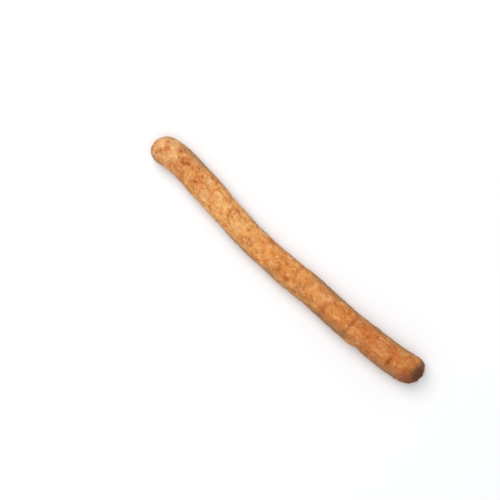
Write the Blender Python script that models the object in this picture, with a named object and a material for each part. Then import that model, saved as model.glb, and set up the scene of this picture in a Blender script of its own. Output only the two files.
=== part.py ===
# A miswak stick: a short length of chewing root, lying on its side.
# +X runs along the stick from its rounded light tip to its slanted dark cut, +Z is up,
# and the surface that the stick lies on is z = 0.
import math

import bmesh
import bpy
from mathutils import Matrix, Vector

MM = 0.001

# Driving dimensions, in millimetres and degrees.
# Angles go round the stick from +Y (0) over the top (90) to -Y (180).

# The root at even steps from tip to cut: how far its middle bends to +Y, how high its underside
# is off the surface, and half its width and half its height.
TIP_X = -75.0
STATION_STEP = 15.0
STATIONS = [
    (1.7, 1.0, 6.4, 6.2),
    (2.8, 0.2, 6.0, 6.0),
    (1.2, 0.7, 6.2, 6.0),
    (-0.7, 1.3, 6.0, 5.8),
    (-2.3, 0.9, 5.9, 5.7),
    (-2.5, 0.4, 6.1, 5.9),
    (-2.1, 0.5, 6.2, 6.1),
    (-2.4, 1.0, 6.1, 6.1),
    (-1.8, 1.3, 6.2, 5.9),
    (-1.1, 0.8, 6.4, 6.2),
    (0.9, 0.0, 6.5, 6.3),
]

# The rounded tip, with a small flat at its end.
TIP_ROUNDING = 7.0
TIP_SQUARENESS = 2.2
TIP_FLAT_ANGLE = 9.0

# The slanted cut across the other end: where it crosses the middle of the root, how far it leans
# back, and its rounded rim: how far that runs along the bark, and how far in over the cut, at the
# sides and above and below.
CUT_X = 72.9
CUT_LEAN = 22.0
LEAN_START = 58.0
RIM_LENGTH = 4.6
RIM_SIDE_DEPTH = 3.0
RIM_TOP_DEPTH = 0.9
# The flat of the cut: rows at these parts of its size, and how far the wood in its middle stands
# out of the shrunken bark.
CUT_ROWS = [0.86, 0.74, 0.5, 0.25]
WOOD_RISE = 0.15
WOOD_SIZE = 0.8

# Facets that a knife left round the tip: the way each faces (round from +X to +Y, and up), and
# how far it lies from the middle of the tip's rounding.
TIP_MIDDLE_X = -68.5
TIP_FACETS = [
    (155.0, 10.0, 6.25),
    (193.0, -5.0, 6.4),
    (243.0, 15.0, 6.35),
    (165.0, 52.0, 6.25),
    (205.0, -48.0, 6.25),
]
FACET_SOFTNESS = 0.45

# Lengthwise furrows in the bark: how many go round, how high, where they start, how far they turn
# with each millimetre along, and how far apart they fade, and by what part of their height.
FURROWS = [
    (2, 0.06, 40.0, 1.1, 90.0),
    (3, 0.10, 215.0, -0.8, 61.0),
    (5, 0.10, 75.0, 1.7, 37.0),
    (7, 0.12, 310.0, -1.3, 29.0),
    (9, 0.09, 130.0, 0.9, 23.0),
]
FURROW_FADE = 0.4

# Swellings and hollows: place along the stick, angle, half length, half width and rise.
SWELLINGS = [
    (-69.0, 120.0, 4.0, 4.0, -0.15),
    (-62.0, 8.0, 6.0, 4.0, 0.25),
    (-53.0, 205.0, 7.0, 4.0, 0.20),
    (-44.0, 15.0, 6.0, 3.0, 0.20),
    (-38.0, 60.0, 6.0, 4.0, 0.22),
    (-35.0, 250.0, 6.0, 3.5, -0.25),
    (-31.0, 170.0, 5.0, 3.5, -0.18),
    (-26.0, 228.0, 4.5, 4.0, 0.40),
    (-14.0, 340.0, 7.0, 4.0, 0.20),
    (-9.0, 95.0, 7.0, 3.5, -0.15),
    (-7.0, 172.0, 5.0, 3.5, -0.25),
    (2.0, 200.0, 5.0, 4.0, 0.20),
    (16.0, 20.0, 7.0, 3.5, 0.22),
    (19.0, 215.0, 6.0, 4.0, -0.22),
    (24.0, 130.0, 5.0, 3.0, -0.15),
    (30.0, 322.0, 5.0, 4.0, 0.40),
    (41.5, 185.0, 3.0, 3.0, 0.25),
    (45.0, 300.0, 6.0, 4.0, -0.25),
    (53.0, 70.0, 6.0, 4.0, 0.18),
    (60.0, 235.0, 6.0, 4.0, 0.25),
    (64.0, 5.0, 6.0, 4.0, 0.20),
]

# Nicks out of the bark: place, angle, half length, half width and depth.
NICKS = [
    (-71.0, 320.0, 1.6, 2.4, 0.35),
    (8.0, 345.0, 1.6, 2.2, 0.40),
    (46.3, 182.0, 1.7, 2.6, 0.60),
]

# Creases across the bark: place, angles where they begin and end, and depth.
CREASES = [
    (-65.5, 150.0, 215.0, 0.20),
    (-56.0, 25.0, 95.0, 0.15),
    (-47.5, 190.0, 262.0, 0.28),
    (-33.0, 300.0, 372.0, 0.26),
    (-17.5, 85.0, 150.0, 0.16),
    (-4.0, 182.0, 250.0, 0.28),
    (19.5, 310.0, 385.0, 0.28),
    (37.3, 43.0, 119.0, 0.20),
    (51.0, 200.0, 255.0, 0.26),
    (59.9, 92.0, 131.0, 0.50),
    (67.0, -20.0, 45.0, 0.24),
]
CREASE_WIDTH = 0.55

# Scars where rootlets were trimmed: place, angle, radius, rise of the rim and depth of the pit.
# The widths of the rim and of the pit are parts of that radius.
SCARS = [
    (-60.0, 84.0, 1.1, 0.12, 0.30),
    (-52.1, 112.0, 1.0, 0.12, 0.30),
    (-50.8, 76.0, 0.8, 0.10, 0.25),
    (-44.0, 117.0, 1.5, 0.28, 0.30),
    (-26.0, 228.0, 1.6, 0.30, 0.45),
    (3.4, 118.0, 1.4, 0.22, 0.35),
    (13.0, 103.0, 1.1, 0.20, 0.25),
    (30.0, 322.0, 1.7, 0.30, 0.45),
    (47.1, 81.0, 1.3, 0.18, 0.25),
    (60.0, 235.0, 1.4, 0.25, 0.35),
]
SCAR_RIM_WIDTH = 0.45
SCAR_PIT_WIDTH = 0.55

# How finely the bark is faceted: finer within this many radii of a scar. Its seam runs below.
RING_SPACING = 1.9
FACETS_ROUND = 38
TIP_RINGS = 7
RIM_RINGS = 5
SCAR_REACH = 1.8
SEAM_ANGLE = -90.0
WELD = 0.001

# Facets that meet at more than this angle have a sharp edge between them.
SHARP_ANGLE = 50.0

BARK_COLOUR = (0.60, 0.29, 0.10, 1.0)
BARK_ROUGHNESS = 0.75


def clear_scene():
    for old in list(bpy.data.objects):
        bpy.data.objects.remove(old, do_unlink=True)


def station(along, column):
    """One column of STATIONS at a place along the stick, on a smooth curve through them."""
    place = (along - TIP_X) / STATION_STEP
    first = min(max(int(math.floor(place)), 0), len(STATIONS) - 2)
    t = place - first
    before, here, after, beyond = (
        STATIONS[min(max(first + k, 0), len(STATIONS) - 1)][column] for k in (-1, 0, 1, 2)
    )
    slope_here = (after - before) / 2
    slope_after = (beyond - here) / 2
    return (
        here * (2 * t**3 - 3 * t**2 + 1)
        + slope_here * (t**3 - 2 * t**2 + t)
        + after * (3 * t**2 - 2 * t**3)
        + slope_after * (t**3 - t**2)
    )


def turn_between(angle, other):
    """The short way round from one angle to another, in degrees."""
    return (angle - other + 180) % 360 - 180


def bell(along, off, half_length, half_width):
    """A smooth bump of height 1, at a distance along and a distance round from its middle."""
    return math.exp(-((along / half_length) ** 2) - (off / half_width) ** 2)


def relief(along, angle):
    """How far the bark stands out from the plain section, in millimetres."""
    radius = station(along, 2)
    out = 0.0
    for count, height, start, twist, fade in FURROWS:
        wave = math.cos(math.radians(count * (angle - start) + twist * (along - TIP_X)))
        out += height * wave * (1 - FURROW_FADE + FURROW_FADE * math.sin(math.tau * along / fade))
    for place, middle, half_length, half_width, rise in SWELLINGS:
        off = math.radians(turn_between(angle, middle)) * radius
        out += rise * bell(along - place, off, half_length, half_width)
    for place, middle, half_length, half_width, depth in NICKS:
        off = math.radians(turn_between(angle, middle)) * radius
        out -= depth * bell(along - place, off, half_length, half_width)
    for place, begin, end, depth in CREASES:
        half_arc = (end - begin) / 2
        off = turn_between(angle, begin + half_arc) / half_arc
        if abs(off) < 1:
            out -= depth * (1 - off**2) * bell(along - place, 0, CREASE_WIDTH, 1)
    for place, middle, size, rise, pit in SCARS:
        off = math.radians(turn_between(angle, middle)) * radius
        distance = math.hypot(along - place, off) / size
        out += rise * math.exp(-(((distance - 1) / SCAR_RIM_WIDTH) ** 2))
        out -= pit * math.exp(-((distance / SCAR_PIT_WIDTH) ** 2))
    return out


def root_middle(along):
    return Vector((along, station(along, 0), station(along, 1) + station(along, 3)))


def bark_point(along, angle, side_shrink, top_shrink, lean):
    """A point of the bark: the section is shrunk at the ends, and leans with the cut."""
    turn = math.radians(angle)
    out = relief(along, angle)
    y = (station(along, 2) + out) * math.cos(turn) * side_shrink
    z = (station(along, 3) + out) * math.sin(turn) * top_shrink
    return root_middle(along) + Vector((-lean * z * math.tan(math.radians(CUT_LEAN)), y, z))


def trim_tip(point):
    """Bring a point back to the knife's facets round the tip, whose edges are a little worn."""
    for bearing, slope, reach in TIP_FACETS:
        level = math.cos(math.radians(slope))
        facing = Vector((
            level * math.cos(math.radians(bearing)),
            level * math.sin(math.radians(bearing)),
            math.sin(math.radians(slope)),
        ))
        beyond = (point - root_middle(TIP_MIDDLE_X)).dot(facing) - reach
        point = point - facing * FACET_SOFTNESS * math.log1p(math.exp(beyond / FACET_SOFTNESS))
    return point


def tip_rows():
    """Rows round the tip, on a squarish quarter round.

    A row is a place along, how far its sides and its top are shrunk, and how far it leans."""
    power = 2 / TIP_SQUARENESS
    flat = math.cos(math.radians(TIP_FLAT_ANGLE)) ** power
    rows = []
    for k in range(TIP_RINGS):
        t = math.radians(TIP_FLAT_ANGLE + (90 - TIP_FLAT_ANGLE) * k / TIP_RINGS)
        shrink = math.sin(t) ** power
        rows.append((TIP_X + TIP_ROUNDING * (flat - math.cos(t) ** power), shrink, shrink, 0.0))
    return rows


def body_rows(start, stop):
    """Rows along the bark at an even spacing, with three rows across each crease."""
    count = round((stop - start) / RING_SPACING)
    even = [start + (stop - start) * k / count for k in range(count)]
    across = [crease[0] + side * CREASE_WIDTH for crease in CREASES for side in (-1, 0, 1)]
    kept = [along for along in even if min(abs(along - c) for c in across) > CREASE_WIDTH]
    rows = []
    for along in sorted(kept + across):
        t = min(max((along - LEAN_START) / (stop - LEAN_START), 0.0), 1.0)
        rows.append((along, 1.0, 1.0, t * t * (3 - 2 * t)))
    return rows


def rim_rows():
    """Rows over the rounded rim of the cut, and in over its flat."""
    rows = []
    for k in range(RIM_RINGS + 1):
        t = math.radians(90 * k / RIM_RINGS)
        side_shrink = 1 - RIM_SIDE_DEPTH / station(CUT_X, 2) * (1 - math.cos(t))
        top_shrink = 1 - RIM_TOP_DEPTH / station(CUT_X, 3) * (1 - math.cos(t))
        rows.append((CUT_X - RIM_LENGTH * (1 - math.sin(t)), side_shrink, top_shrink, 1.0))
    for part in CUT_ROWS:
        rise = WOOD_RISE if part < WOOD_SIZE else 0.0
        rows.append((CUT_X + rise, side_shrink * part, top_shrink * part, 1.0))
    return rows


def stick_rows():
    return tip_rows() + body_rows(TIP_X + TIP_ROUNDING, CUT_X - RIM_LENGTH) + rim_rows()


def between_rows(rows, number):
    """The row at a whole or a fractional row number."""
    first = min(int(number), len(rows) - 2)
    t = number - first
    return [a + (b - a) * t for a, b in zip(rows[first], rows[first + 1])]


def draw_sheet(rows):
    """The bark as a flat sheet, one unit square per facet: x goes round, y goes along."""
    sheet = bmesh.new()
    bmesh.ops.create_grid(sheet, x_segments=FACETS_ROUND, y_segments=len(rows) - 1, size=0.5)
    for vert in sheet.verts:
        vert.co.x = round((vert.co.x + 0.5) * FACETS_ROUND)
        vert.co.y = round((vert.co.y + 0.5) * (len(rows) - 1))
    return sheet


def refine_scars(sheet, rows):
    """Cut the sheet finer where a rootlet's scar lies."""
    edges = set()
    for face in sheet.faces:
        middle = face.calc_center_median()
        along = between_rows(rows, middle.y)[0]
        angle = SEAM_ANGLE + 360 * middle.x / FACETS_ROUND
        for place, centre, size, *_ in SCARS:
            off = math.radians(turn_between(angle, centre)) * station(along, 2)
            if math.hypot(along - place, off) < size * SCAR_REACH:
                edges.update(face.edges)
    bmesh.ops.subdivide_edges(sheet, edges=list(edges), cuts=1, use_grid_fill=True)


def roll_up(sheet, rows):
    """Roll the sheet round the root and close its seam."""
    for vert in sheet.verts:
        angle = SEAM_ANGLE + 360 * vert.co.x / FACETS_ROUND
        along, *shape = between_rows(rows, vert.co.y)
        point = bark_point(along, angle, *shape)
        if along < TIP_MIDDLE_X:
            point = trim_tip(point)
        vert.co = point * MM
    bmesh.ops.remove_doubles(sheet, verts=sheet.verts, dist=WELD * MM)


def close_ends(sheet):
    """Close the tip and the middle of the cut with a fan of facets each."""
    rims = [edge for edge in sheet.edges if edge.is_boundary]
    caps = bmesh.ops.edgeloop_fill(sheet, edges=rims)["faces"]
    bmesh.ops.poke(sheet, faces=caps)
    bmesh.ops.recalc_face_normals(sheet, faces=sheet.faces)


def set_down(mesh):
    """Put the lowest point on the surface, and the middle of the stick over the origin."""
    low, high = (
        Vector([pick(vert.co[k] for vert in mesh.vertices) for k in range(3)]) for pick in (min, max)
    )
    middle = (low + high) / 2
    mesh.transform(Matrix.Translation((-middle.x, -middle.y, -low.z)))


def bark_material():
    material = bpy.data.materials.new("stick_bark")
    material.use_nodes = True
    shader = material.node_tree.nodes["Principled BSDF"]
    shader.inputs["Base Color"].default_value = BARK_COLOUR
    shader.inputs["Roughness"].default_value = BARK_ROUGHNESS
    shader.inputs["Metallic"].default_value = 0.0
    material.diffuse_color = BARK_COLOUR
    return material


def build_stick():
    rows = stick_rows()
    sheet = draw_sheet(rows)
    refine_scars(sheet, rows)
    roll_up(sheet, rows)
    close_ends(sheet)
    mesh = bpy.data.meshes.new("stick")
    sheet.to_mesh(mesh)
    sheet.free()
    set_down(mesh)
    mesh.materials.append(bark_material())
    mesh.shade_smooth()
    mesh.set_sharp_from_angle(angle=math.radians(SHARP_ANGLE))
    stick = bpy.data.objects.new("stick", mesh)
    bpy.context.scene.collection.objects.link(stick)
    return stick


clear_scene()
build_stick()
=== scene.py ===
import math

import bpy
from mathutils import Matrix, Vector


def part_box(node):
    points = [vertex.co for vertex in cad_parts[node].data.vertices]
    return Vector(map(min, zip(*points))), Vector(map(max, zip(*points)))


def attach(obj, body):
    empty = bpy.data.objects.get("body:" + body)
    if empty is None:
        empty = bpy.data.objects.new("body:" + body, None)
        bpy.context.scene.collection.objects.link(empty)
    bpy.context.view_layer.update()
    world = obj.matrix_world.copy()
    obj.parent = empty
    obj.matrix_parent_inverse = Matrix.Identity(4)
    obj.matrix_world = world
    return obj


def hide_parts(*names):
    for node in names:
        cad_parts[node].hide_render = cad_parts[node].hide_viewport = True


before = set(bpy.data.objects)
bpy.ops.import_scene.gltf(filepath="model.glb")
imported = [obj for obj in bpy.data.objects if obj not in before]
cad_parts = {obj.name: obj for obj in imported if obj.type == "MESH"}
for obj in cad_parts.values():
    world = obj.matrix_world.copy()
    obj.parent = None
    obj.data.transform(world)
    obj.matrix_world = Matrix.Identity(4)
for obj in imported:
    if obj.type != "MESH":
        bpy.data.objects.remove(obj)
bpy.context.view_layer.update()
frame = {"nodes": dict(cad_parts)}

print("packed model loaded:", ", ".join(frame["nodes"]))

# Looks of a miswak stick, a length of chewing root with its bark on.
# Sizes are in millimetres and angles in degrees: 0 is +Y, 90 the top, 180 -Y.
# The grain runs along +X, from the light tip to the dark slanted cut.
# Values whose names start with a capital are inputs of a tree, a node group or a shader.
mm = 0.001


# Helpers for node trees

class Wire:
    # an output in a node tree; sums that are written with it add the math nodes
    def __init__(self, socket):
        self.socket = socket
        self.tree = socket.id_data

    def __add__(self, other):
        return calc("ADD", self, other)

    def __radd__(self, other):
        return self if other == 0 else calc("ADD", other, self)

    def __sub__(self, other):
        return calc("SUBTRACT", self, other)

    def __rsub__(self, other):
        return calc("SUBTRACT", other, self)

    def __mul__(self, other):
        return calc("MULTIPLY", self, other)

    def __truediv__(self, other):
        return calc("DIVIDE", self, other)


def feed(socket, value):
    if isinstance(value, Wire):
        socket.id_data.links.new(value.socket, socket)
    else:
        socket.default_value = value


def add(tree, kind, inputs=None, **settings):
    node = tree.nodes.new(kind)
    for name, value in settings.items():
        setattr(node, name, value)
    for name, value in (inputs or {}).items():
        feed(next(socket for socket in node.inputs if socket.name == name and socket.enabled), value)
    return node


def outOf(node, name=None):
    return Wire(next(socket for socket in node.outputs if socket.enabled and name in (None, socket.name)))


def isVector(value):
    if isinstance(value, Wire):
        return value.socket.type in ("VECTOR", "RGBA")
    return not isinstance(value, (int, float))


def calc(operation, *values):
    # a math node, or a vector math node where one of the values is a vector
    tree = next(value for value in values if isinstance(value, Wire)).tree
    if any(isVector(value) for value in values):
        node = add(tree, "ShaderNodeVectorMath", operation=operation)
        values = [(value,) * 3 if isinstance(value, (int, float)) else value for value in values]
    else:
        node = add(tree, "ShaderNodeMath", operation=operation)
    for socket, value in zip(node.inputs, values):
        feed(socket, value)
    return outOf(node)


def ease(value, low, high, start=0.0, end=1.0):
    # a smooth step from start to end, as value goes from low to high
    return outOf(add(value.tree, "ShaderNodeMapRange", {"Value": value, "From Min": low, "From Max": high,
                     "To Min": start, "To Max": end}, interpolation_type="SMOOTHSTEP"))


def fade(value, low, high):
    # a smooth step down from 1 to 0
    return ease(value, low, high, 1.0, 0.0)


def xyz(tree, x, y, z):
    return outOf(add(tree, "ShaderNodeCombineXYZ", {"X": x, "Y": y, "Z": z}))


def axis(vector, name):
    return outOf(add(vector.tree, "ShaderNodeSeparateXYZ", {"Vector": vector}), name)


def noise(vector, look, output=None):
    # look is the pattern's scale, detail and roughness, and for some a shift
    scale, detail, roughness, *shift = look
    spot = sum(shift, vector * scale)
    return outOf(add(vector.tree, "ShaderNodeTexNoise", {"Vector": spot, "Scale": 1.0, "Detail": detail,
                     "Roughness": roughness}), output)


def swing(vector, look):
    # noise that swings about 0
    return noise(vector, look) - 0.5


def patches(vector, look):
    # noise as a mask: look is the noise's own, then where the mask starts and is full
    pattern, edge = look
    return ease(noise(vector, pattern), *edge)


def cells(vector, feature="F1"):
    return add(vector.tree, "ShaderNodeTexVoronoi", {"Vector": vector, "Scale": 1.0}, feature=feature)


def someCells(vector, look, channel):
    # the distance from each cell's middle, and a mask of the share of cells that hold a mark
    scale, share = look
    node = cells(vector * scale)
    return outOf(node, "Distance"), calc("LESS_THAN", axis(outOf(node, "Color"), channel), share)


def edges(vector):
    # the distance from the borders between cells
    return outOf(cells(vector, "DISTANCE_TO_EDGE"), "Distance")


def bell(*parts):
    # exp of minus the sum of the parts' squares
    return calc("EXPONENT", sum(part * part for part in parts) * -1)


def floats(*names):
    return [(name, "Float") for name in names]


def newTree(name, sizes, materials, *others):
    # a tree that grows a mesh, with an input for each size whose name starts with a capital
    takes = [(label, "Int" if isinstance(value, int) else "Float") for label, value in sizes.items()
             if label[0].isupper()]
    takes = [("Geometry", "Geometry"), *takes, *others, *((label, "Material") for label in materials)]
    return newGroup(name, takes, [("Geometry", "Geometry")])


def newGroup(name, takes, gives, kind="GeometryNodeTree"):
    # takes and gives list each socket's name and type
    tree = bpy.data.node_groups.new(name, kind)
    for side, sockets in (("INPUT", takes), ("OUTPUT", gives)):
        for label, form in sockets:
            tree.interface.new_socket(label, in_out=side, socket_type="NodeSocket" + form)
    taken = {socket.name: Wire(socket) for socket in tree.nodes.new("NodeGroupInput").outputs if socket.name}
    return tree, taken, tree.nodes.new("NodeGroupOutput").inputs


def place(tree, group, inputs):
    # one copy of a node group in a tree, with its own values
    node = tree.nodes.new("GeometryNodeGroup" if tree.type == "GEOMETRY" else "ShaderNodeGroup")
    node.node_tree = group
    for name, value in inputs.items():
        feed(node.inputs[name], value)
    return {socket.name: Wire(socket) for socket in node.outputs}


def attribute(tree, name, form="FLOAT"):
    if tree.type == "GEOMETRY":
        return outOf(add(tree, "GeometryNodeInputNamedAttribute", {"Name": name}, data_type=form))
    output = "Fac" if form == "FLOAT" else "Vector"
    return outOf(add(tree, "ShaderNodeAttribute", attribute_name=name), output)


def grainOf(tree):
    # the place on the root laid out straight, in millimetres
    return attribute(tree, "grain", "FLOAT_VECTOR")


def given(tree, kind):
    # the geometry's own Position or Normal
    return outOf(add(tree, "GeometryNodeInput" + kind))


def step(geometry, kind, **inputs):
    # a geometry node that changes what it is given
    return outOf(add(geometry.tree, "GeometryNode" + kind, {"Geometry": geometry, **inputs}))


def store(geometry, name, value, form="FLOAT", domain="POINT"):
    return outOf(add(geometry.tree, "GeometryNodeStoreNamedAttribute", {"Geometry": geometry, "Name": name,
                     "Value": value}, data_type=form, domain=domain))


def newObject(name, data):
    made = bpy.data.objects.new(name, data)
    bpy.context.scene.collection.objects.link(made)
    return made


def growMesh(source, tree, sizes, name):
    # the modifier's inputs are set by identifier, then its result becomes a plain mesh
    grower = source.modifiers.new(tree.name, "NODES")
    grower.node_group = tree
    for item in tree.interface.items_tree:
        if item.item_type == "SOCKET" and item.in_out == "INPUT" and item.name in sizes:
            value = sizes[item.name]
            grower[item.identifier] = list(value) if item.socket_type == "NodeSocketVector" else value
    grown = source.evaluated_get(bpy.context.evaluated_depsgraph_get())
    mesh = bpy.data.meshes.new_from_object(grown)
    source.modifiers.remove(grower)
    mesh.name = name
    print(name, "grown:", len(mesh.polygons), "faces")
    return newObject(name, mesh)


# The root's own line: stations every 15 mm from tip to cut, and rows of the bark laid out on them

rootLine = {
    "tipX": -75.0,
    "step": 15.0,
    # sideways bend, underside's height, half width, half height
    "stations": [
        (1.7, 1.0, 6.4, 6.2), (2.8, 0.2, 6.0, 6.0), (1.2, 0.7, 6.2, 6.0), (-0.7, 1.3, 6.0, 5.8),
        (-2.3, 0.9, 5.9, 5.7), (-2.5, 0.4, 6.1, 5.9), (-2.1, 0.5, 6.2, 6.1), (-2.4, 1.0, 6.1, 6.1),
        (-1.8, 1.3, 6.2, 5.9), (-1.1, 0.8, 6.4, 6.2), (0.9, 0.0, 6.5, 6.3),
    ],
    "tipRounding": 7.0,
    "tipSquareness": 2.2,
    "tipFlatAngle": 9.0,
    "tipRows": 26,
    "rowSpacing": 0.335,
    "cutX": 72.9,
    "leanStart": 58.0,
    "rimLength": 4.6,
    "rimSideDepth": 3.0,
    "rimTopDepth": 0.9,
    "rimRows": 20,
    "cutRows": 26,
}


def station(along, column):
    # a smooth curve through one column of the stations
    spot = (along - rootLine["tipX"]) / rootLine["step"]
    last = len(rootLine["stations"]) - 1
    first = min(max(math.floor(spot), 0), last - 1)
    t = spot - first
    a, b, c, d = (rootLine["stations"][min(max(first + k, 0), last)][column] for k in (-1, 0, 1, 2))
    return (b * (2 * t**3 - 3 * t**2 + 1) + (c - a) / 2 * (t**3 - 2 * t**2 + t)
            + c * (3 * t**2 - 2 * t**3) + (d - b) / 2 * (t**3 - t**2))


def barkRows():
    # each row: place along, shrink of its sides and of its top, lean, and share of the cut's radius
    sizes = rootLine
    rows = []
    power = 2 / sizes["tipSquareness"]
    flat = math.cos(math.radians(sizes["tipFlatAngle"])) ** power
    for k in range(sizes["tipRows"]):
        t = math.radians(90 * k / sizes["tipRows"])
        shrink = math.sin(t) ** power
        along = sizes["tipX"] + sizes["tipRounding"] * (flat - math.cos(t) ** power)
        rows.append((along, shrink, shrink, 0, 1))
    start = sizes["tipX"] + sizes["tipRounding"] * flat
    stop = sizes["cutX"] - sizes["rimLength"]
    count = round((stop - start) / sizes["rowSpacing"])
    for k in range(count):
        along = start + (stop - start) * k / count
        t = min(max((along - sizes["leanStart"]) / (stop - sizes["leanStart"]), 0), 1)
        rows.append((along, 1, 1, t * t * (3 - 2 * t), 1))
    for k in range(sizes["rimRows"] + 1):
        t = math.radians(90 * k / sizes["rimRows"])
        side = 1 - sizes["rimSideDepth"] / station(sizes["cutX"], 2) * (1 - math.cos(t))
        top = 1 - sizes["rimTopDepth"] / station(sizes["cutX"], 3) * (1 - math.cos(t))
        rows.append((sizes["cutX"] - sizes["rimLength"] * (1 - math.sin(t)), side, top, 1, 1))
    for k in range(1, sizes["cutRows"] + 1):
        part = 1 - k / sizes["cutRows"]
        rows.append((sizes["cutX"], side * part, top * part, 1, part))
    return rows


rowFacts = ("along", "sideShrink", "topShrink", "lean", "cutPart",
            "bend", "underside", "halfWidth", "halfHeight")


def drawRootLine():
    # one point to a row, which carries the row's facts
    rows = [row + tuple(station(row[0], column) for column in range(4)) for row in barkRows()]
    mesh = bpy.data.meshes.new("rootLine")
    mesh.from_pydata([(row[0], 0, 0) for row in rows], [(k, k + 1) for k in range(len(rows) - 1)], [])
    for name, values in zip(rowFacts, zip(*rows)):
        mesh.attributes.new(name, "FLOAT", "POINT").data.foreach_set("value", values)
    return newObject("rootLine", mesh), len(rows)


# What grew on the root

rootForms = {
    # lengthwise furrows: how many go round, height, start, turn with each mm, fade distance
    "furrows": [
        (2, 0.06, 40, 1.1, 90), (3, 0.10, 215, -0.8, 61), (5, 0.10, 75, 1.7, 37),
        (7, 0.12, 310, -1.3, 29), (9, 0.09, 130, 0.9, 23),
    ],
    "furrowFade": 0.4,
    # swellings, hollows and nicks: place along, angle, half length, half width, rise
    "swellings": [
        (-69, 120, 4, 4, -0.15), (-62, 8, 6, 4, 0.25), (-53, 205, 7, 4, 0.20), (-44, 15, 6, 3, 0.20),
        (-38, 60, 6, 4, 0.22), (-35, 250, 6, 3.5, -0.25), (-31, 170, 5, 3.5, -0.18),
        (-26, 228, 4.5, 4, 0.40), (-14, 340, 7, 4, 0.20), (-9, 95, 7, 3.5, -0.15),
        (-7, 172, 5, 3.5, -0.25), (2, 200, 5, 4, 0.20), (16, 20, 7, 3.5, 0.22), (19, 215, 6, 4, -0.22),
        (24, 130, 5, 3, -0.15), (30, 322, 5, 4, 0.40), (41.5, 185, 3, 3, 0.25), (45, 300, 6, 4, -0.25),
        (53, 70, 6, 4, 0.18), (60, 235, 6, 4, 0.25), (64, 5, 6, 4, 0.20),
        (-71, 320, 1.6, 2.4, -0.35), (8, 345, 1.6, 2.2, -0.40), (46.3, 182, 1.7, 2.6, -0.60),
    ],
    # creases across the bark: place along, begin, end, depth, strength of the painted shade in them
    "creases": [
        (-65.5, 150, 215, 0.20, 0.4), (-56, 25, 95, 0.15, 0.15), (-47.5, 190, 262, 0.28, 0.6),
        (-33, 300, 372, 0.26, 0.5), (-17.5, 85, 150, 0.16, 0.15), (-4, 182, 250, 0.28, 0.6),
        (19.5, 310, 385, 0.28, 0.6), (37.3, 43, 119, 0.20, 0.3), (51, 200, 255, 0.26, 0.5),
        (59.9, 92, 131, 0.50, 0.5), (67, -20, 45, 0.24, 0.4),
    ],
    "creaseWidth": 0.5,
    # scars of trimmed rootlets: place along, angle, radius, rise of the rim, depth of the pit,
    # paleness of the rim, strength of the painted shade in the pit
    "scars": [
        (-60, 84, 1.1, 0.12, 0.18, 0.0, 0.15), (-52.1, 112, 1.0, 0.12, 0.18, 0.1, 0.3),
        (-50.8, 76, 0.8, 0.10, 0.15, 0.0, 0.3), (-44, 117, 1.5, 0.28, 0.22, 0.8, 0.0),
        (-26, 228, 1.6, 0.30, 0.40, 0.5, 0.6), (3.4, 118, 1.4, 0.22, 0.22, 0.1, 0.25),
        (13, 103, 1.1, 0.20, 0.15, 0.45, 0.2), (30, 322, 1.7, 0.30, 0.40, 0.5, 0.6),
        (47.1, 81, 1.3, 0.18, 0.15, 0.1, 0.35), (60, 235, 1.4, 0.25, 0.30, 0.4, 0.5),
    ],
    "scarWidening": 1.25,  # across the root
    "scarRimWidth": 0.45,
    "scarPitWidth": 0.55,
    # how ragged the scars are: pattern and amount
    "scarPattern": (1, 2.0, 0.55),
    "scarRagged": 0.6,
    # knife facets round the tip: the way each faces, its slope, and its reach from the tip's middle
    "facets": [(155, 10, 6.25), (193, -5, 6.4), (243, 15, 6.35), (165, 52, 6.25), (205, -48, 6.25)],
    "facetMiddleX": -68.5,
    "facetSoftness": 0.45,
}

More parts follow.
